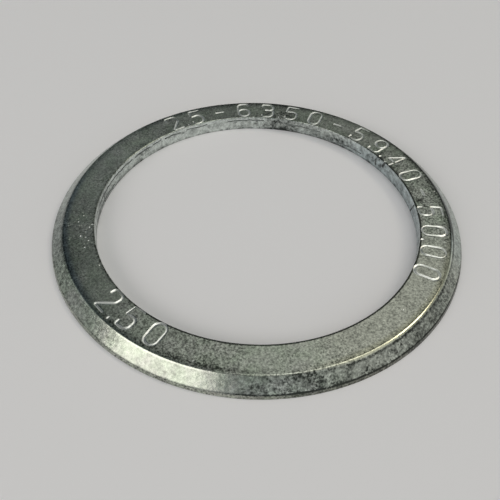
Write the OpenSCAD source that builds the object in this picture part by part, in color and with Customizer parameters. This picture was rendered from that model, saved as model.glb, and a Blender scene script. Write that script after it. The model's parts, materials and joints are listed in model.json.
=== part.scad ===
// Spacer ring for a bearing on a 50 mm shaft.
// A flat steel ring: its upper face is narrower than its base, and a coned flank joins the two,
// so that the base spreads the load while the face stays clear of the bearing's cage.
// Z runs up the bore, and the base lies on Z = 0.

/* [Bore] */
// Diameter of the bore, which slides on the shaft
bore_d = 50; // [30:0.5:120]
// Radius of the bore's rim at the face, where the punch went in
bore_rim_r = 0.15; // [0.05:0.01:0.3]

/* [Face] */
// Width of the upper face, from the bore to the sharp corner of the flank
face_w = 4.7; // [3:0.1:10]
// Width of the outer part of the face that the punch drew down
roll_w = 0.9; // [0.4:0.1:1.5]
// Depth by which that part has sunk at the corner of the flank
roll_drop = 0.05; // [0.02:0.01:0.15]
// Radius that eases the flat face into the sunken part
roll_r = 15; // [5:1:20]

/* [Flank and land] */
// Width of the coned flank, seen from above
flank_w = 1.9; // [1:0.05:4]
// Height of the land under the flank, where the blanking die sheared the ring off
land_h = 0.7; // [0.5:0.05:1.2]
// Distance by which the land leans in from the base to its top
land_lean = 0.15; // [0:0.05:0.25]
// Radius of the corner between the face and the flank
shoulder_r = 0.5; // [0.1:0.05:0.8]
// Radius of the corner between the flank and the land
land_r = 0.15; // [0.05:0.01:0.3]

/* [Body] */
// Height of the ring, from the base to the face
height = 2.5; // [1.8:0.1:8]
// Radius of the edges of the base, where they are deburred
base_r = 0.1; // [0.05:0.01:0.2]

/* [Hidden] */
steel = "#8e928d";
turn_fn = 180;
arc_step = 8;
least_arc_steps = 4;

bore_radius = bore_d / 2;
shoulder_radius = bore_radius + face_w;
outer_radius = shoulder_radius + flank_w + land_lean;

// Corners of the ring's section as [radius, height, rounding], anticlockwise from the bore at the base
SECTION = [
    [bore_radius, 0, base_r],
    [outer_radius, 0, base_r],
    [outer_radius - land_lean, land_h, land_r],
    [shoulder_radius, height - roll_drop, shoulder_r],
    [shoulder_radius - roll_w, height, roll_r],
    [bore_radius, height, bore_rim_r],
];

function place(corner) = [corner[0], corner[1]];
function unit(v) = v / norm(v);

// Rounding that fits a corner: its arc takes at most this share of the shorter line beside it
fit_share = 0.49;
function fitting(r, half_angle, shorter) = min(r, fit_share * shorter * tan(half_angle));

// Points of the arc that rounds corner b, which lies between corners a and c
function rounded(a, b, c) =
    let (
        back = place(a) - place(b),
        on = place(c) - place(b),
        half_angle = acos(unit(back) * unit(on)) / 2,
        r = fitting(b[2], half_angle, min(norm(back), norm(on))),
        centre = place(b) + unit(unit(back) + unit(on)) * r / sin(half_angle),
        first = place(b) + unit(back) * r / tan(half_angle) - centre,
        turn = 180 - 2 * half_angle,
        steps = max(least_arc_steps, ceil(turn / arc_step)),
        start = atan2(first[1], first[0])
    )
    [for (i = [0:steps]) centre + r * [cos(start + turn * i / steps), sin(start + turn * i / steps)]];

// Outline of a closed row of corners, with each one rounded
function outline(corners) =
    let (count = len(corners))
    [for (i = [0:count - 1])
        each rounded(corners[(i + count - 1) % count], corners[i], corners[(i + 1) % count])];

module spacer_ring() {
    color(steel)
        rotate_extrude($fn = turn_fn)
            polygon(outline(SECTION));
}

spacer_ring();
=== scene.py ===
import json
import math
import random

import bmesh
import bpy
from mathutils import Matrix, Vector


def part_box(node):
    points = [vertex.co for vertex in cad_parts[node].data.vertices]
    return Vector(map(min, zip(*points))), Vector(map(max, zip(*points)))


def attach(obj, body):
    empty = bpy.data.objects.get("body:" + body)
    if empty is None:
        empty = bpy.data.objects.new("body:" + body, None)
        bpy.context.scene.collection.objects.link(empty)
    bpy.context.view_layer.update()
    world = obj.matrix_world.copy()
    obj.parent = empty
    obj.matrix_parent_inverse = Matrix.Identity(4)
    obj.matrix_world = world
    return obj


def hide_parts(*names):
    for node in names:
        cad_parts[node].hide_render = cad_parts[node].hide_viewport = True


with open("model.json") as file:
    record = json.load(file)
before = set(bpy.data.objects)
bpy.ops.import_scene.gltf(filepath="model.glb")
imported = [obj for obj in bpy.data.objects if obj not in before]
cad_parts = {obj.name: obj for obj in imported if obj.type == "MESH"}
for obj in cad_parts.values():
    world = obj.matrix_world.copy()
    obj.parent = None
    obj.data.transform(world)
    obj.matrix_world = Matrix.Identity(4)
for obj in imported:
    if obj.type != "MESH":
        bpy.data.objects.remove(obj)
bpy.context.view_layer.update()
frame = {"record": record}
mm = 0.001

# View: a camera held close above the ring and a little in front of it, looking down.
# The lens, the place and the slight roll are the photograph's own, worked out from the ring's circles.
photo_px = 500
focal_px = 662.25
sensor_w = 36
look_down = math.radians(46.54)
view_distance = 104.9 * mm
aim_right = -1.02 * mm
aim_up = -4.25 * mm
camera_roll = math.radians(1.42)
nearest_seen = 5 * mm

camera = bpy.data.objects.new("camera", bpy.data.cameras.new("camera"))
camera.data.sensor_width = sensor_w
camera.data.lens = focal_px / photo_px * sensor_w
camera.data.clip_start = nearest_seen
bpy.context.scene.collection.objects.link(camera)
bpy.context.scene.camera = camera
backwards = Vector((0, -math.cos(look_down), math.sin(look_down)))
rightwards = Vector((1, 0, 0))
upwards = backwards.cross(rightwards)
camera_place = backwards * view_distance + rightwards * aim_right + upwards * aim_up
camera_axes = Matrix((rightwards, upwards, backwards)).transposed() @ Matrix.Rotation(camera_roll, 3, "Z")
camera.matrix_world = Matrix.Translation(camera_place) @ camera_axes.to_4x4()

# Blank: the steel ring as it leaves the press, in one piece. Its outline was punched from plate,
# and a second blow coined the cone on its flank and drew the rim of the face down with it.
bore_mount = next(m for m in frame["record"]["mounts"] if m["name"] == "bore")
bore_r = bore_mount["dims"]["r_mm"] * mm
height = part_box("spacer_ring")[1].z
face_w = 4.7 * mm
shoulder_r = bore_r + face_w
roll_w = 0.9 * mm
roll_drop = 0.05 * mm
flank_w = 1.9 * mm
land_h = 0.7 * mm
land_lean = 0.15 * mm
outer_r = shoulder_r + flank_w + land_lean
turn_steps = 840
row_gap = 0.24 * mm
weld = 0.002 * mm
same_corner = 0.01 * mm

# Corners of the section, as (radius, height, rounding, steps of the rounding)
section = [
    (bore_r, 0, 0.1 * mm, 3),
    (outer_r, 0, 0.1 * mm, 3),
    (outer_r - land_lean, land_h, 0.15 * mm, 4),
    (shoulder_r, height - roll_drop, 0.5 * mm, 8),
    (shoulder_r - roll_w, height, 15 * mm, 3),
    (bore_r, height, 0.15 * mm, 5),
]


def start_piece(name):
    """Names the primitive that was just added, and its mesh."""
    bpy.context.object.name = name
    bpy.context.object.data.name = name
    return bpy.context.object


def pick(elements, wanted):
    """Selects, in edit mode, the vertices or edges that wanted names."""
    bpy.ops.mesh.select_mode(type={"verts": "VERT", "edges": "EDGE"}[elements])
    bpy.ops.mesh.select_all(action="DESELECT")
    shape = bmesh.from_edit_mesh(bpy.context.object.data)
    for element in getattr(shape, elements):
        if wanted(element):
            element.select_set(True)
    shape.select_flush_mode()
    bmesh.update_edit_mesh(bpy.context.object.data)


def setback(before, corner, after, rounding):
    """How far from a corner its rounding begins, along either line beside it."""
    here = Vector(corner[:2])
    angle = (Vector(before[:2]) - here).angle(Vector(after[:2]) - here)
    return rounding / math.tan(angle / 2)


bpy.ops.object.select_all(action="DESELECT")
bpy.ops.mesh.primitive_plane_add(size=1)
ring = start_piece("spacer_ring_plated")
bpy.ops.object.mode_set(mode="EDIT")
bpy.ops.transform.rotate(value=math.pi / 2, orient_axis="X", center_override=(0, 0, 0))
bpy.ops.transform.resize(value=(outer_r - bore_r, 1, height), center_override=(0, 0, 0))
bpy.ops.transform.translate(value=((outer_r + bore_r) / 2, 0, height / 2))

# An upright rectangle is cut along the section's rim, flank and land
for inner, outer in ((section[4], section[3]), (section[3], section[2]), (section[2], section[1])):
    run = Vector((outer[0] - inner[0], 0, outer[1] - inner[1])).normalized()
    bpy.ops.mesh.select_all(action="SELECT")
    bpy.ops.mesh.bisect(plane_co=(inner[0], 0, inner[1]), plane_no=(-run.z, 0, run.x), clear_outer=True)

# Its corners are rounded, and its outline is kept without the face
for i, (r, z, rounding, steps) in enumerate(section):
    length = setback(section[i - 1], section[i], section[(i + 1) % len(section)], rounding)
    pick("verts", lambda v: (v.co - Vector((r, 0, z))).length < same_corner)
    bpy.ops.mesh.bevel(offset=length, segments=steps, affect="VERTICES", clamp_overlap=False)

bpy.ops.mesh.select_all(action="SELECT")
bpy.ops.mesh.delete(type="ONLY_FACE")
outline = bmesh.from_edit_mesh(ring.data)


def rows_along(edge):
    """How many rows of faces an edge of the section gets. The flat base needs only one."""
    on_base = max(v.co.z for v in edge.verts) < weld
    return 1 if on_base else max(1, round(edge.calc_length() / row_gap))


# The outline gets enough points for the blows to press, and is turned round the ring's axis
for rows in sorted({rows_along(e) for e in outline.edges} - {1}):
    pick("edges", lambda e: rows_along(e) == rows)
    bpy.ops.mesh.subdivide(number_cuts=rows - 1)

bpy.ops.object.mode_set(mode="OBJECT")
turning = ring.modifiers.new("turning", "SCREW")
turning.steps = turning.render_steps = turn_steps
turning.use_merge_vertices = True
turning.merge_threshold = weld
bpy.ops.object.modifier_apply(modifier=turning.name)
bpy.ops.object.mode_set(mode="EDIT")
bpy.ops.mesh.select_all(action="SELECT")
bpy.ops.mesh.remove_doubles(threshold=weld)
bpy.ops.mesh.normals_make_consistent(inside=False)
bpy.ops.object.mode_set(mode="OBJECT")

# Blows: they left the ring a little wavy, and its coined flank rough like a casting.
# The bore, the base and the foot of the land stay true.
wave_size = 5 * mm
wave_depth = 0.03 * mm
cast_size = 0.6 * mm
cast_depth = 0.03 * mm
base_kept = 0.16 * mm
bore_kept = 0.2 * mm
edge_kept = 0.4 * mm
all_inwards = 1
either_way = 0.5


def press(shape, name, size, depth, middle, wanted):
    """Presses blotches of a size and a depth into the places that wanted names by radius and height."""
    blotches = bpy.data.textures.new(name, "CLOUDS")
    blotches.noise_scale = size
    blotches.noise_depth = 1
    places = [v.index for v in shape.data.vertices if wanted(math.hypot(v.co.x, v.co.y), v.co.z)]
    pressed = shape.vertex_groups.new(name=name)
    pressed.add(places, 1, "REPLACE")
    blow = shape.modifiers.new(name, "DISPLACE")
    blow.texture = blotches
    blow.texture_coords = "LOCAL"
    blow.vertex_group = pressed.name
    blow.mid_level = middle
    blow.strength = depth
    bpy.ops.object.modifier_apply(modifier=blow.name)
    shape.vertex_groups.clear()


def is_wavy(r, z):
    return z > base_kept and r > bore_r + bore_kept


def is_cast(r, z):
    return z > land_h and r > shoulder_r + edge_kept


press(ring, "waves", wave_size, wave_depth, all_inwards, is_wavy)
press(ring, "casting", cast_size, cast_depth, either_way, is_cast)

# Plating: zinc laid on the steel in a bath, and dulled since by handling and by tumbling with other rings.
# It is fine and even on the face, blotched like a casting on the flank, and smooth on the sheared wall of
# the bore. A thin film on the zinc turns it faintly green, blue or brown from place to place.
bright_zinc = (0.72, 0.765, 0.675, 1)
dark_zinc = (0.05, 0.056, 0.048, 1)
even_shade = 0.43
fine_grain = 0.26 * mm
coarse_grain = 0.5 * mm
sheared_grain = 0.8 * mm
torn_from = 1.75 * mm
relief_depth = 0.007 * mm
relief_filter = 0.1
noise_detail = 4
grain_decay = 0.62
stain_decay = 0.6
stain_spacing = 2
stain_twist = 0.4
least_noise = 0.3
most_noise = 0.7


def feed(tree, sockets, values):
    """Gives sockets their values in order, each a number or another node's output."""
    for socket, value in zip(sockets, values):
        if isinstance(value, bpy.types.NodeSocket):
            tree.links.new(value, socket)
        else:
            socket.default_value = value


def wire(tree, kind, *values, out=0, **settings):
    """Adds a node with its settings, and feeds it the values."""
    made = tree.nodes.new("ShaderNode" + kind)
    for option, choice in settings.items():
        setattr(made, option, choice)
    feed(tree, [s for s in made.inputs if s.enabled], values)
    outputs = [s for s in made.outputs if s.enabled]
    return outputs[out] if outputs else None


def new_group(name, takes, gives):
    """Starts a shader node group. What it takes has a number as its usual value, or None for a vector."""
    group = bpy.data.node_groups.new(name, "ShaderNodeTree")
    for title, usual in takes.items():
        kind = "NodeSocketVector" if usual is None else "NodeSocketFloat"
        socket = group.interface.new_socket(title, in_out="INPUT", socket_type=kind)
        if usual is not None:
            socket.default_value = usual
    for title in gives:
        group.interface.new_socket(title, in_out="OUTPUT", socket_type="NodeSocketFloat")
    return group, group.nodes.new("NodeGroupInput").outputs, group.nodes.new("NodeGroupOutput").inputs


def use_group(tree, group, *values, out=0):
    """Places a node group in a material, and feeds it the values."""
    placed = tree.nodes.new("ShaderNodeGroup")
    placed.node_tree = group
    feed(tree, placed.inputs, values)
    return placed.outputs[out]


# How far a point is from the ring's axis, and how high
ring_place, taken, given = new_group("ring_place", {"Place": None}, ["Radius", "Height"])
level = wire(ring_place, "VectorMath", taken["Place"], (1, 1, 0), operation="MULTIPLY")
ring_place.links.new(wire(ring_place, "VectorMath", level, operation="LENGTH"), given["Radius"])
ring_place.links.new(wire(ring_place, "SeparateXYZ", taken["Place"], out=2), given["Height"])

# A band of a value, with soft edges
band, taken, given = new_group("band", {"Value": 0, "From": 0, "To": 1, "Edge": 0.1}, ["Mask"])
steps = []
for limit in ("From", "To"):
    low = wire(band, "Math", taken[limit], taken["Edge"], operation="SUBTRACT")
    high = wire(band, "Math", taken[limit], taken["Edge"], operation="ADD")
    steps.append(wire(band, "MapRange", taken["Value"], low, high, 0, 1, interpolation_type="SMOOTHSTEP"))
band.links.new(wire(band, "Math", *steps, operation="SUBTRACT"), given["Mask"])

# All within reach of a middle, fading out over the outer half of the way
spot, taken, given = new_group("spot", {"Place": None, "Middle": None, "Reach": 10 * mm}, ["Mask"])
off = wire(spot, "VectorMath", taken["Place"], taken["Middle"], operation="DISTANCE")
half = wire(spot, "Math", taken["Reach"], 0.5, operation="MULTIPLY")
faded = wire(spot, "MapRange", off, half, taken["Reach"], 0, 1, interpolation_type="SMOOTHSTEP")
spot.links.new(wire(spot, "Math", 1, faded, operation="SUBTRACT"), given["Mask"])

# Mottled grain of a size, as a value from 0 to 1 about one half
grain, taken, given = new_group("grain", {"Place": None, "Size": mm, "Contrast": 2}, ["Grain"])
shrink = wire(grain, "Math", 1, taken["Size"], operation="DIVIDE")
scaled = wire(grain, "VectorMath", taken["Place"], shrink, operation="SCALE")
noise = wire(grain, "TexNoise", scaled, 1, noise_detail, grain_decay)
centred = wire(grain, "Math", noise, 0.5, operation="SUBTRACT")
grown = wire(grain, "Math", centred, taken["Contrast"], 0.5, operation="MULTIPLY_ADD", use_clamp=True)
grain.links.new(grown, given["Grain"])

# Stains of a size that cover about a share of the surface, with soft ragged edges
stain_inputs = {"Place": None, "Size": mm, "Share": 0.3, "Edge": 0.05}
stains, taken, given = new_group("stains", stain_inputs, ["Mask"])
shrink = wire(stains, "Math", 1, taken["Size"], operation="DIVIDE")
scaled = wire(stains, "VectorMath", taken["Place"], shrink, operation="SCALE")
noise = wire(stains, "TexNoise", scaled, 1, noise_detail, stain_decay, stain_spacing, stain_twist)
middle = wire(stains, "MapRange", taken["Share"], 0, 1, most_noise, least_noise)
low = wire(stains, "Math", middle, taken["Edge"], operation="SUBTRACT")
high = wire(stains, "Math", middle, taken["Edge"], operation="ADD")
covered = wire(stains, "MapRange", noise, low, high, 0, 1, interpolation_type="SMOOTHSTEP")
stains.links.new(covered, given["Mask"])


def new_metal(name):
    """Starts a metal: its material, node tree, shader and the place on the ring that patterns read."""
    metal = bpy.data.materials.new(name)
    metal.use_nodes = True
    shader = metal.node_tree.nodes["Principled BSDF"]
    shader.inputs["Metallic"].default_value = 1
    return metal, metal.node_tree, shader, wire(metal.node_tree, "TexCoord", out=3)


def on_ring(degrees, r, z=0.0):
    """A place on the ring, by its angle from the right, its radius and its height."""
    return r * math.cos(math.radians(degrees)), r * math.sin(math.radians(degrees)), z


plating, coat, shader, place = new_metal("zinc_plate")
radius = use_group(coat, ring_place, place, out=0)
high_up = use_group(coat, ring_place, place, out=1)

# Stains that read a moved place don't fall together with the others
moved_place = wire(coat, "VectorMath", place, (20 * mm, 0, 0), operation="ADD")

# Ends of the bands that are open on one side
beyond_all = 1000 * mm
below_all = -1 * mm


def mix(mask, first, second, **settings):
    """The first value where the mask is 0, and the second where it is 1."""
    return wire(coat, "Mix", mask, first, second, **settings)


def product(mask, *more):
    """A mask of where all the masks hold."""
    for other in more:
        mask = wire(coat, "Math", mask, other, operation="MULTIPLY")
    return mask


def ring_band(low, high, edge):
    """A mask of a stretch of the radius, with soft edges."""
    return use_group(coat, band, radius, low, high, edge)


def level_band(low, high, edge):
    """A mask of a stretch of the height, with soft edges."""
    return use_group(coat, band, high_up, low, high, edge)


def around(degrees, r, reach, z=0.0):
    """A mask of what lies within reach of a place on the ring."""
    return use_group(coat, spot, place, on_ring(degrees, r, z), reach)


def mottled(size, contrast):
    return use_group(coat, grain, place, size, contrast)


def stained(size, share, edge, at=place):
    return use_group(coat, stains, at, size, share, edge)


def darkened(shade, *places):
    """Adds each place's amount to the shade where all its masks hold. A negative amount brightens."""
    for amount, *masks in places:
        shade = wire(coat, "Math", product(*masks), amount, shade, operation="MULTIPLY_ADD")
    return shade


# The ring's surfaces
in_bore = ring_band(0, bore_r + 0.03 * mm, 0.03 * mm)
upper = level_band(land_h, beyond_all, 0.05 * mm)
outside = ring_band(shoulder_r + 0.5 * mm, beyond_all, 0.1 * mm)
above_land = level_band(land_h - 0.02 * mm, height - 0.12 * mm, 0.05 * mm)
on_flank = product(above_land, ring_band(shoulder_r - 0.5 * mm, beyond_all, 0.1 * mm))
on_land = product(level_band(below_all, land_h, 0.1 * mm), outside)
forwards = wire(coat, "VectorMath", place, (0.2, -1, 0), operation="DOT_PRODUCT")
front = wire(coat, "MapRange", forwards, 8 * mm, 14 * mm, 0, 1)

# Handling has soiled the flank at the front right, and the land there is darker. It rubbed the flank clean
# at the front left and at the right, and left it pitted further to the left. The zinc is tinted blue on
# the flank at the left. In the bore at the right and on the rim of the face at the left it is tinted blue,
# and at the front right brown, as painted colour of the bluish and warm light that these places mirror.
soiled = around(306, outer_r, 25 * mm)
rubbed = around(246, outer_r, 13 * mm)
wiped = around(3, outer_r, 14 * mm)
pitted = around(215, outer_r, 12 * mm)
bluish_reflection_place = around(18, bore_r, 19 * mm)
bluish_reflection_rim = around(191, shoulder_r, 17 * mm, height)
blue_flank = around(165, outer_r, 24 * mm)
warm_reflection_place = around(318, shoulder_r, 20 * mm)

# The grain shows as fine relief and as darker and lighter metal. It comes and goes in patches over the
# face. On the flank it is strong where that is soiled or pitted, and faint where that is rubbed. It is
# weaker on the soiled land.
fine = mottled(fine_grain, 3.2)
coarse = mottled(coarse_grain, 3.4)
sheared = mottled(sheared_grain, 3)
patchy = mottled(5 * mm, 3)
clustered = mottled(2 * mm, 4)
relief = mix(on_flank, mix(in_bore, fine, mix(0.65, fine, sheared)), mix(0.5, fine, coarse))
face_strength = mix(around(247, shoulder_r - 2 * mm, 13 * mm), mix(patchy, 0.45, 0.85), 0.95)
face_strength = mix(around(10, shoulder_r - 2 * mm, 16 * mm), face_strength, 0.95)
bore_strength = mix(bluish_reflection_place, 1.05, 1.0)
flank_strength = mix(rubbed, mix(soiled, 0.65, mix(clustered, 0.7, 1.5)), 0.3)
flank_strength = mix(pitted, flank_strength, 1.0)
strength = mix(on_flank, mix(in_bore, face_strength, bore_strength), flank_strength)
low_down = level_band(below_all, land_h - 0.05 * mm, 0.05 * mm)
strength = mix(product(low_down, soiled), strength, 0.5)
sunk = wire(coat, "Math", 0.5, relief, operation="SUBTRACT")
shade = wire(coat, "Math", sunk, strength, even_shade, operation="MULTIPLY_ADD")

# Stains all over and on the flank, and plain lighter and darker places on the flank, as (amount, masks).
# Specks on the face at the left are bruised, and so bright and rough.
bruised = product(stained(0.42 * mm, 0.16, 0.03, moved_place), around(189, 26.3 * mm, 6 * mm, height))
shade = darkened(
    shade,
    (0.09, stained(3.5 * mm, 0.35, 0.08)),
    (0.1, mottled(1.6 * mm, 2.5)),
    (0.08, stained(0.8 * mm, 0.32, 0.05), on_flank),
    (0.2, stained(1.6 * mm, 0.42, 0.06), on_flank, soiled),
    (0.3, stained(0.6 * mm, 0.30, 0.04), on_flank, soiled, clustered),
    (0.12, stained(0.6 * mm, 0.30, 0.04), on_flank, pitted),
    (-0.18, stained(0.5 * mm, 0.18, 0.03, moved_place), on_flank, soiled),
    (-0.45, bruised, upper),
    (-0.15, on_flank, wiped),
    (-0.04, on_flank, around(217, outer_r, 8 * mm)),
    (0.1, on_flank, around(188, outer_r, 18 * mm)),
    (0.12, on_flank, around(276, outer_r, 9 * mm)),
)

# Here and there the face is painted a little brighter with painted reflected light, as (angle, reach,
# brightness).
# It is stained darker at the right, with a little painted shade there too, and the wall of the bore is
# stained all round.
face_mid_r = 27 * mm
painted_bright_places = [
    (158, 14, 0.13),
    (226, 11, 0.06),
    (278, 6, 0.07),
    (324, 14, 0.05),
    (55, 8, 0.05),
]
for angle, reach, brightness in painted_bright_places:
    shade = darkened(shade, (-brightness, around(angle, face_mid_r, reach * mm, height), upper))
right_side = around(28, face_mid_r, 20 * mm, height)
shade = darkened(
    shade,
    (0.03, upper, right_side),
    (0.1, stained(1.1 * mm, 0.4, 0.07), upper, right_side),
    (0.1, stained(1.3 * mm, 0.4, 0.08), in_bore),
)

# The rim of the face, drawn down by the punch, is painted darker than the rest, a painted dark reflection
# of the room that it mirrors. The shoulder beyond it is painted bright at the front, a painted highlight
# of the lamps, with painted dark lines over and under it at the front right, and is painted dark
# elsewhere.
# Painted shade that grows towards the shoulder, over the drawn-down rim
painted_rim_shade = wire(coat, "MapRange", radius, shoulder_r - 1.0 * mm, shoulder_r - 0.4 * mm, 0, 1)
drawn_down = product(ring_band(0, shoulder_r + 0.05 * mm, 0.2 * mm), painted_rim_shade)
inner_rim = ring_band(shoulder_r - 0.8 * mm, shoulder_r - 0.3 * mm, 0.15 * mm)
not_front = wire(coat, "Math", 1, front, operation="SUBTRACT")
brink = product(ring_band(shoulder_r - 0.14 * mm, shoulder_r + 0.4 * mm, 0.16 * mm), not_front)
flank_top = ring_band(shoulder_r - 0.1 * mm, shoulder_r + 0.55 * mm, 0.3 * mm)
over_edge = ring_band(shoulder_r - 0.28 * mm, shoulder_r - 0.1 * mm, 0.06 * mm)
under_edge = ring_band(shoulder_r + 0.23 * mm, shoulder_r + 0.5 * mm, 0.08 * mm)
# A painted highlight along the shoulder, on the side towards the front
edge = product(ring_band(shoulder_r - 0.1 * mm, shoulder_r + 0.23 * mm, 0.08 * mm), upper, front)

# Where that painted highlight is taken away again, as (angle, reach, how much of it)
for angle, reach, share in ((277, 11, 1), (240, 17, 0.6)):
    highlight_gap = around(angle, shoulder_r, reach * mm, height)
    edge = product(edge, wire(coat, "Math", highlight_gap, -share, 1, operation="MULTIPLY_ADD"))

shade = darkened(
    shade,
    (0.13, drawn_down, upper),
    (0.13, drawn_down, upper, around(20, shoulder_r, 9 * mm)),
    (0.08, drawn_down, upper, around(6, shoulder_r, 20 * mm)),
    (-0.12, drawn_down, upper, around(52, shoulder_r, 7 * mm)),
    (0.1, drawn_down, upper, around(88, shoulder_r, 12 * mm)),
    (0.12, inner_rim, upper, around(245, shoulder_r, 17 * mm)),
    (0.22, brink, upper),
    (0.3, brink, upper, around(16, shoulder_r, 22 * mm)),
    (0.24, flank_top, upper, around(16, shoulder_r, 16 * mm)),
    (-0.55, edge),
    (0.2, over_edge, upper, around(314, shoulder_r, 14 * mm)),
    (0.32, under_edge, upper, around(326, shoulder_r, 26 * mm)),
)

# The wall of the bore is clean, with painted shade along its foot where it meets the floor. Under its
# bright upper part the steel tore, which left a dark ragged line, plainest at the far left.
ragged = mottled(1.1 * mm, 3)
wander = wire(coat, "Math", ragged, 0.35 * mm, high_up, operation="MULTIPLY_ADD")
torn_line = use_group(coat, band, wander, torn_from, torn_from + 0.2 * mm, 0.1 * mm)
shaded_foot = use_group(coat, band, wander, below_all, 0.45 * mm, 0.15 * mm)
shade = darkened(
    shade,
    (-0.21, in_bore),
    (-0.05, in_bore, bluish_reflection_place),
    (-0.12, in_bore, around(119, bore_r, 9 * mm)),
    (-0.12, in_bore, level_band(torn_from + 0.2 * mm, height - 0.2 * mm, 0.1 * mm)),
    (0.35, in_bore, torn_line, around(150, bore_r, 26 * mm), ragged),
    (0.3, in_bore, shaded_foot),
    (0.25, in_bore, around(174, bore_r, 5 * mm)),
    (0.15, in_bore, around(70, bore_r, 9 * mm, height)),
)

# The rim of the bore carries a painted dark line of painted shade, strongest on the near side and at the
# right and faint on its far side. The corner of flank and land is darker in a broken line, most at the
# front right, and the land is darker at the front right.
rim = ring_band(bore_r + 0.04 * mm, bore_r + 0.3 * mm, 0.05 * mm)
top = level_band(height - 0.12 * mm, beyond_all, 0.04 * mm)
near = wire(coat, "MapRange", wire(coat, "SeparateXYZ", place, out=1), 19 * mm, 8 * mm, 0.15, 1)
corner = level_band(land_h - 0.1 * mm, land_h + 0.1 * mm, 0.05 * mm)
# A broken-up mask for the darker line in the corner of flank and land
patchy_line = wire(coat, "MapRange", ragged, 0.1, 0.5, 0, 1)
shade = darkened(
    shade,
    (0.35, rim, top, near),
    (0.35, rim, top, around(320, bore_r, 46 * mm)),
    (0.7, corner, outside, patchy_line, soiled),
    (0.2, corner, outside),
    (0.28, on_land, soiled),
    (0.1, on_land, around(330, outer_r, 16 * mm)),
)

# Stains of handling, as (angle, radius, height, reach, darkness)
handled = [
    (34, 25, 1.9, 1.6, 0.5),
    (39, 25, 1.0, 1.5, 0.4),
    (52, 25, 1.3, 2.2, 0.4),
    (57, 25, 0.3, 1.6, 0.5),
    (82, 25, 1.4, 5.0, 0.4),
    (142, 25, 1.8, 1.8, 0.4),
    (159, 25, 0.9, 4.0, 0.2),
    (258, 28.9, 2.5, 1.8, 0.2),
    (306, 27.1, 2.5, 1.5, 0.18),
    (8, 26.0, 2.5, 1.0, 0.4),
]
blotchy = mottled(0.7 * mm, 5)
for angle, r, z, reach, darkness in handled:
    shade = darkened(shade, (darkness, around(angle, r * mm, reach * mm, z * mm), blotchy))

# The tints: first the film's, which comes and goes all over, and then the others where their masks hold.
# The warm ones at the front right are painted colour of the warm lamp's light, the cream one on the
# painted highlight included; the grey-green one is a tint of the painted dark rim, and the blue one on the
# bore at the right and the rim at the left is painted colour of the bluish light that those places mirror.
greenish = (0.965, 1, 0.94, 1)
brownish = (1.035, 1, 1.02, 1)
tint = mix(mottled(3 * mm, 4), greenish, brownish, data_type="RGBA")
blue = wire(coat, "Math", product(bluish_reflection_place, in_bore), product(bluish_reflection_rim, drawn_down), operation="MAXIMUM")
tints = [
    (warm_reflection_place, (1.045, 1, 0.985, 1)),
    (product(drawn_down, warm_reflection_place), (1.06, 1, 0.88, 1)),
    (product(edge, warm_reflection_place), (1.07, 1, 0.86, 1)),
    (brink, (0.95, 1.02, 0.93, 1)),
    (product(on_flank, wiped), (0.97, 1, 1.05, 1)),
    (product(on_flank, blue_flank), (0.97, 1, 1.06, 1)),
    (in_bore, (0.98, 0.99, 1.07, 1)),
    (blue, (0.94, 0.99, 1.12, 1)),
]
for mask, colour in tints:
    tint = mix(mask, tint, colour, data_type="RGBA")
shade = wire(coat, "Math", shade, 0, operation="MAXIMUM", use_clamp=True)
zinc = mix(shade, bright_zinc, dark_zinc, data_type="RGBA")
coat.links.new(mix(1, zinc, tint, data_type="RGBA", blend_type="MULTIPLY"), shader.inputs["Base Color"])

# The plate's gloss, and its relief, which is strong on the flank and nearly gone on the painted highlight
# along the shoulder
gloss = mix(edge, mix(patchy, 0.23, 0.3), 0.22)
coat.links.new(mix(bruised, gloss, 0.62), shader.inputs["Roughness"])
raised = mix(edge, mix(on_flank, mix(in_bore, 0.4, 0.6), 1.0), 0.1)
raised = wire(coat, "Math", relief, raised, operation="MULTIPLY")
coat.links.new(wire(coat, "Bump", 1, relief_depth, relief_filter, raised), shader.inputs["Normal"])
ring.data.materials.append(plating)

# Figures: the ring's height, outside, shoulder and bore in millimetres, and the height once more in front.
# Each is struck cold by its own punch, in lines like a V in section, never quite square or equally deep.
# Their metal is bare and brighter than the plating.
figure_w = 2.0 * mm
figure_h = 3.7 * mm
line_w = 0.48 * mm
line_depth = 0.095 * mm
figures_r = bore_r + 2.2 * mm
figure_pitch = 9.35
most_turn = math.radians(2)
most_lean = math.radians(1.3)
most_shift = 0.08 * mm
most_sink = 0.02 * mm
arc_steps = 7
tip_steps = 4
tip_end = 0.02
most_of_line = 0.49


def stained_metal(name, roughness, clean, dark, *stain):
    """A metal in two colours, the second in stains of a size, a share and an edge."""
    metal, tree, shader, place = new_metal(name)
    shader.inputs["Roughness"].default_value = roughness
    mask = use_group(tree, stains, place, *stain)
    tree.links.new(wire(tree, "Mix", mask, clean, dark, data_type="RGBA"), shader.inputs["Base Color"])
    return metal


bare_steel = (0.96, 0.97, 0.93, 1)
worn_steel = (0.72, 0.74, 0.69, 1)
struck_metal = stained_metal("struck_metal", 0.38, bare_steel, worn_steel, 1.0 * mm, 0.4, 0.06)
ring.data.materials.append(struck_metal)

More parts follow.
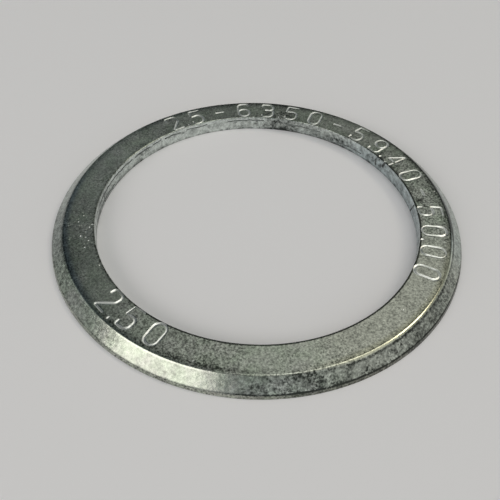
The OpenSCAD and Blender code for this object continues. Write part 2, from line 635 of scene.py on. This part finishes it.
# Lines of each figure, as corners (across, up, rounding) in shares of its width, its height and its width.
# A loop is closed, and the second line of a figure is struck after the first.
loop = "loop"
figures = {
    "0": [(loop, (0, 0, 0.5), (1, 0, 0.5), (1, 1, 0.5), (0, 1, 0.5))],
    "2": [("", (0, 0.78, 0), (0, 1, 0.5), (1, 1, 0.5), (1, 0.6, 0.4), (0, 0, 0.08), (1, 0, 0))],
    "3": [
        ("", (0.02, 0.85, 0), (0, 1, 0.45), (1, 1, 0.45), (1, 0.55, 0.4), (0.35, 0.55, 0)),
        ("", (0.45, 0.55, 0), (1, 0.55, 0.45), (1, 0, 0.5), (0, 0, 0.5), (0, 0.17, 0)),
    ],
    "4": [("", (0.75, 0, 0), (0.75, 1, 0.04), (0, 0.28, 0.05), (1, 0.28, 0))],
    "5": [
        (
            "",
            (0.95, 1, 0),
            (0.08, 1, 0.06),
            (0, 0.57, 0.06),
            (0.98, 0.64, 0.45),
            (1, 0, 0.5),
            (0, 0, 0.5),
            (0, 0.18, 0),
        ),
    ],
    "6": [
        ("", (0.95, 0.85, 0), (0.9, 1, 0.4), (0, 1, 0.5), (0, 0.3, 0)),
        (loop, (0, 0, 0.5), (1, 0, 0.5), (1, 0.56, 0.5), (0, 0.56, 0.5)),
    ],
    "9": [
        ("", (0.05, 0.15, 0), (0.1, 0, 0.4), (1, 0, 0.5), (1, 0.7, 0)),
        (loop, (0, 1, 0.5), (1, 1, 0.5), (1, 0.44, 0.5), (0, 0.44, 0.5)),
    ],
    "-": [("", (0.18, 0.5, 0), (0.82, 0.5, 0))],
    ".": [("", (0.5, 0, 0), (0.5, 0.03, 0))],
}
struck = random.Random(7)


def only(*pieces):
    """Selects these pieces alone, in object mode, with the first one active."""
    if bpy.context.object and bpy.context.object.mode != "OBJECT":
        bpy.ops.object.mode_set(mode="OBJECT")
    bpy.ops.object.select_all(action="DESELECT")
    for piece in pieces:
        piece.select_set(True)
    bpy.context.view_layer.objects.active = pieces[0]


def run_of(line):
    """Points of one line of a figure, in the plane of its punch, with arcs at its rounded corners."""
    closed, corners = line[0] == loop, line[1:]
    places = [Vector(((x - 0.5) * figure_w, (y - 0.5) * figure_h, 0)) for x, y, _ in corners]
    points = []
    for i, (here, corner) in enumerate(zip(places, corners)):
        if not corner[2]:
            points.append(here)
            continue
        back = places[i - 1] - here
        on = places[(i + 1) % len(places)] - here
        half = back.angle(on) / 2
        start = corner[2] * figure_w / math.tan(half)
        length = min(start, most_of_line * back.length, most_of_line * on.length)
        centre = here + (back.normalized() + on.normalized()).normalized() * length / math.cos(half)
        first = here + back.normalized() * length - centre
        last = here + on.normalized() * length - centre
        for step in range(arc_steps + 1):
            out = first.normalized().slerp(last.normalized(), step / arc_steps)
            points.append(centre + out * first.length)
    return points, closed


def bar_along(points, closed, thickness, place, rounding=5):
    """A bar along some points, with blunt tips, that cuts one line. No rounding makes it square."""
    sizes = [1.0] * len(points)
    if not closed:
        for end, inner in ((0, 1), (-1, -2)):
            outwards = (points[end] - points[inner]).normalized()
            tip = [
                (points[end] + outwards * thickness * math.sin(a), max(math.cos(a), tip_end))
                for a in (math.pi / 2 * step / tip_steps for step in range(1, tip_steps + 1))
            ]
            if end == 0:
                points = [p for p, _ in reversed(tip)] + points
                sizes = [size for _, size in reversed(tip)] + sizes
            else:
                points = points + [p for p, _ in tip]
                sizes = sizes + [size for _, size in tip]
    bar = bpy.data.curves.new("bar", "CURVE")
    bar.dimensions = "3D"
    bar.bevel_depth = thickness
    bar.bevel_resolution = rounding
    bar.use_fill_caps = True
    spline = bar.splines.new("POLY")
    spline.points.add(len(points) - 1)
    spline.use_cyclic_u = closed
    for knot, p, size in zip(spline.points, points, sizes):
        knot.co = (*p, 1)
        knot.radius = size
    made = bpy.data.objects.new("bar", bar)
    bpy.context.scene.collection.objects.link(made)
    made.matrix_world = place
    return made


def facing(across, up, out, centre):
    """The place of a tool at a centre, with its own three directions."""
    return Matrix.Translation(centre) @ Matrix((across, up, out)).transposed().to_4x4()


def punch_place(degrees, tops_out):
    """Where a figure's punch stands on the face, with the error of the hand that held it."""
    away = Vector(on_ring(degrees, 1))
    up = away if tops_out else -away
    top = Vector((0, 0, 1))
    centre = away * (figures_r + struck.uniform(-most_shift, most_shift))
    centre.z = height + struck.uniform(-most_sink, most_sink)
    hand = (
        Matrix.Rotation(struck.uniform(-most_turn, most_turn), 4, "Z")
        @ Matrix.Rotation(struck.uniform(-most_lean, most_lean), 4, "X")
        @ Matrix.Rotation(struck.uniform(-most_lean, most_lean), 4, "Y")
    )
    flattened = Matrix.Diagonal((1, 1, line_depth / (line_w / 2), 1))
    return facing(up.cross(top), up, top, centre) @ hand @ flattened


def carve(shape, tool_pieces, name, metal):
    """Joins the tool's pieces and takes them from the shape, which is left with the tool's metal there."""
    only(*tool_pieces)
    bpy.ops.object.convert(target="MESH")
    bpy.ops.object.join()
    bpy.ops.object.transform_apply()
    tool = bpy.context.object
    bpy.ops.object.mode_set(mode="EDIT")
    bpy.ops.mesh.select_all(action="SELECT")
    bpy.ops.mesh.remove_doubles(threshold=weld / 2)
    bpy.ops.mesh.normals_make_consistent(inside=False)
    tool.data.materials.clear()
    tool.data.materials.append(metal)
    only(shape)
    cut = shape.modifiers.new(name, "BOOLEAN")
    cut.operation = "DIFFERENCE"
    cut.object = tool
    cut.solver = "MANIFOLD"
    cut.material_mode = "TRANSFER"
    bpy.ops.object.modifier_apply(modifier=cut.name)
    bpy.data.objects.remove(tool)


# Words, as (figures, angle of the first, pitch, whether their tops face outwards).
# A point stands midway between its neighbours, and takes no pitch of its own.
legends = [
    ("2.5-63.50-59.40-50.00", 124.0, -figure_pitch, True),
    ("2.50", 222.4, figure_pitch, False),
]
strikes = [[], []]
for words, first_angle, pitch, tops_out in legends:
    angle = first_angle
    for figure in words:
        half_back = pitch / 2 if figure == "." else 0
        stand = punch_place(angle - half_back, tops_out)
        for strike, line in zip(strikes, figures[figure]):
            strike.append(bar_along(*run_of(line), line_w / 2, stand, 0))
        angle += 0 if figure == "." else pitch
for i, strike in enumerate(strikes):
    carve(ring, strike, f"figures_{i}", struck_metal)

# Knocks: small dents from other rings, mostly on the face at the left. Their metal is bare and bright.
# Each is given as (angle, radius, length) in degrees and millimetres.
knocks = [
    (188.4, 25.3, 0.44),
    (189.7, 25.7, 0.36),
    (190.6, 25.4, 0.26),
    (191.7, 26.25, 0.34),
    (193.4, 27.0, 0.46),
    (194.2, 26.3, 0.42),
    (195.9, 25.95, 0.3),
    (198.6, 26.65, 0.34),
    (183.9, 26.75, 0.24),
    (186.7, 27.4, 0.24),
    (208.0, 25.5, 0.26),
    (254.2, 28.95, 0.34),
    (11.4, 29.15, 0.42),
    (31.5, 25.2, 0.5),
    (317.0, 27.5, 0.26),
    (324.4, 29.0, 0.26),
]
knock_depth = 0.06 * mm
knock_depths = (0.7, 1.2)
knock_widths = (0.42, 0.6)
knocked = random.Random(3)


def dent(degrees, r, length):
    """A lump that cuts one dent, about as wide as it is long, turned any way."""
    sunk_by = knock_depth * knocked.uniform(*knock_depths)
    place = (*on_ring(degrees, r)[:2], height + sunk_by)
    size = (length / 2, length * knocked.uniform(*knock_widths), 2 * sunk_by)
    turn = (0, 0, knocked.uniform(0, math.pi))
    bpy.ops.object.select_all(action="DESELECT")
    bpy.ops.mesh.primitive_ico_sphere_add(
        subdivisions=3, radius=1, location=place, rotation=turn, scale=size
    )
    return bpy.context.object


lumps = [dent(degrees, r * mm, length * mm) for degrees, r, length in knocks]
carve(ring, lumps, "knocks", struck_metal)

# Tears: the ragged step in the wall of the bore where the steel tore under the punch, dark with old oil
# and dirt. Each of its pieces is (first angle, last angle, height, width) in degrees and millimetres.
tears = [
    (44, 56, 0.8, 0.2),
    (64, 79, 1.5, 0.2),
    (88, 103, 1.9, 0.2),
    (112, 121, 1.9, 0.2),
    (124, 131, 1.85, 0.3),
    (133, 137, 1.95, 0.24),
    (139, 147, 1.8, 0.34),
    (149, 177, 1.75, 0.3),
    (162, 200, 0.6, 0.26),
    (206, 231, 1.8, 0.26),
    (240, 262, 1.4, 0.2),
    (275, 310, 1.7, 0.26),
    (322, 351, 1.5, 0.24),
]

# Upright drag marks of the punch, as (angle, foot, top, slant, width)
drags = [
    (7.3, 0.1, 2.2, 0.9, 0.36),
    (31.5, 1.3, 2.4, 0.4, 0.5),
    (36.0, 0.7, 1.7, -0.3, 0.3),
    (84.0, 0.3, 1.6, 0.1, 0.3),
    (171.0, 0.3, 2.0, -0.1, 0.3),
    (254.0, 0.3, 2.2, 0.2, 0.3),
    (318.0, 0.3, 1.8, -0.2, 0.3),
]
tear_depth = 0.04 * mm
tear_depths = (0.6, 1.1)
tear_step = 1.5
tear_wander = 0.12 * mm
torn = random.Random(11)
oily_steel = (0.2, 0.22, 0.21, 1)
old_dirt = (0.06, 0.065, 0.065, 1)
scored_metal = stained_metal("scored_metal", 0.4, oily_steel, old_dirt, 0.8 * mm, 0.5, 0.08)
ring.data.materials.append(scored_metal)


def groove_radius(width, depth):
    """The radius of a round bar that cuts a groove of a width and a depth."""
    return (width**2 / 4 + depth**2) / (2 * depth)


def tear_bar(first, last, z, width):
    """The tool that cuts one stretch of the ragged step."""
    thickness = groove_radius(width, tear_depth)
    count = round((last - first) / tear_step)
    points = []
    for i in range(count + 1):
        r = bore_r + tear_depth * torn.uniform(*tear_depths) - thickness
        here = on_ring(first + (last - first) * i / count, r, z + torn.uniform(-tear_wander, tear_wander))
        points.append(Vector(here))
    return bar_along(points, False, thickness, Matrix())


def drag_bar(degrees, low, high, slant, width):
    """The tool that cuts one drag mark."""
    thickness = groove_radius(width, tear_depth)
    away = Vector(on_ring(degrees, 1))
    top = Vector((0, 0, 1))
    place = facing(top.cross(-away), top, -away, away * (bore_r + tear_depth - thickness))
    ends = [Vector((-slant / 2, low, 0)), Vector((slant / 2, high, 0))]
    return bar_along(ends, False, thickness, place)


tear_bars = [tear_bar(first, last, z * mm, width * mm) for first, last, z, width in tears]
carve(ring, tear_bars, "tears", scored_metal)
drag_bars = [drag_bar(angle, *[size * mm for size in sizes]) for angle, *sizes in drags]
carve(ring, drag_bars, "drags", scored_metal)

# The whole ring, with the knocks and cuts in it, is shaded smooth apart from its creases.
crease = math.radians(30)
only(ring)
bpy.ops.object.shade_smooth_by_angle(angle=crease)
weighted = ring.modifiers.new("even_shading", "WEIGHTED_NORMAL")
weighted.keep_sharp = True
bpy.ops.object.modifier_apply(modifier=weighted.name)

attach(ring, "root")
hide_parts("spacer_ring")

# Floor: a sheet of pale grey card, far wider than the ring, that the ring lies on.
# It isn't part of the object.
floor_size = 2.0
card_colour = (0.895, 0.88, 0.895, 1)
card_roughness = 0.9
bpy.ops.object.select_all(action="DESELECT")
bpy.ops.mesh.primitive_plane_add(size=floor_size)
floor = start_piece("floor")
card = bpy.data.materials.new("pale_card")
card.use_nodes = True
card.node_tree.nodes["Principled BSDF"].inputs["Base Color"].default_value = card_colour
card.node_tree.nodes["Principled BSDF"].inputs["Roughness"].default_value = card_roughness
floor.data.materials.append(card)

# Light: a large soft window at the left front, a warmer lamp high on the right, and a dim room round them.
# The room is brighter where its pale ceiling and walls are, because the plated steel mirrors them softly.
window_way = Vector((-0.62, -0.55, 0.55)).normalized()
window_side = Vector((0.55, -0.51, 0.25))
window_size = (0.82, 0.45)
window_light = (1.0, 0.95, 0.90)
window_power = 2.75
warm_way = Vector((0.69, 0.13, 0.71)).normalized()
warm_side = Vector((0.29, -0.29, -0.16))
warm_size = (0.42, 0.22)
warm_light = (1.0, 0.93, 0.78)
warm_power = 1.25
lamp_distance = 1.0
backdrop_light = (0.56, 0.56, 0.545, 1)
room_light = (0.045, 0.060, 0.068)


def hang_lamp(name, way, along, size, colour, power):
    """A soft rectangular lamp that faces the ring, its long side turned along the given direction."""
    lamp = bpy.data.lights.new(name, "AREA")
    lamp.shape = "RECTANGLE"
    lamp.size, lamp.size_y = size
    lamp.color = colour
    lamp.energy = power
    hung = bpy.data.objects.new(name, lamp)
    bpy.context.scene.collection.objects.link(hung)
    side = (along - way * along.dot(way)).normalized()
    hung.matrix_world = facing(side, way.cross(side), way, way * lamp_distance)


hang_lamp("window", window_way, window_side, window_size, window_light, window_power)
hang_lamp("warm_lamp", warm_way, warm_side, warm_size, warm_light, warm_power)

# Soft bright and dark places in the room, as (middle, reach either way along X, Y and Z, light).
# Their middles are directions from the ring.
glows = [
    ((0.20, 0.56, 0.81), (0.50, 0.50, 0.50), (0.76, 0.76, 0.71)),
    ((-0.10, 0.56, 0.83), (0.22, 0.20, 0.20), (0.13, 0.13, 0.12)),
    ((-0.20, 0.77, 0.61), (0.25, 0.16, 0.13), (0.24, 0.24, 0.24)),
    ((0.45, -0.45, 0.77), (1.0, 1.0, 1.0), (0.57, 0.565, 0.54)),
    ((0.25, 0.02, 0.97), (0.36, 0.36, 0.36), (2.5, 2.47, 2.33)),
    ((0.48, 0.77, 0.42), (0.20, 0.20, 0.17), (0.9, 0.9, 0.87)),
    ((-0.2, -0.8, 0.3), (1.2, 0.9, 0.7), (0.30, 0.33, 0.36)),
    ((-0.95, 0.05, 0.35), (0.4, 0.45, 0.35), (0.18, 0.18, 0.175)),
    ((0.85, -0.4, 0.45), (0.4, 0.45, 0.4), (0.20, 0.21, 0.22)),
    ((0.8, 0.6, 0.05), (0.4, 0.4, 0.35), (0.20, 0.21, 0.21)),
    ((0.0, 0.0, 0.0), (9.0, 9.0, 0.45), (0.42, 0.43, 0.425)),
    ((0.22, 1.0, 0.12), (0.65, 0.5, 0.42), (-0.62, -0.62, -0.61)),
]
room = bpy.data.worlds.new("room")
bpy.context.scene.world = room
room.use_nodes = True
tree = room.node_tree
tree.nodes.clear()
way = wire(tree, "TexCoord", out=0)
total = room_light
for middle, reach, colour in glows:
    aside = wire(tree, "VectorMath", way, middle, operation="SUBTRACT")
    share = wire(tree, "VectorMath", aside, reach, operation="DIVIDE")
    fade = wire(tree, "MapRange", wire(tree, "VectorMath", share, operation="LENGTH"), 1, 0, 0, 1)
    glow = wire(tree, "VectorMath", colour, fade, operation="SCALE")
    total = wire(tree, "VectorMath", glow, total, operation="ADD")
total = wire(tree, "VectorMath", total, (0, 0, 0), operation="MAXIMUM")
seen = wire(tree, "Mix", wire(tree, "LightPath"), total, backdrop_light, data_type="RGBA")
wire(tree, "OutputWorld", wire(tree, "Background", seen))
bpy.context.scene.view_settings.view_transform = "Standard"
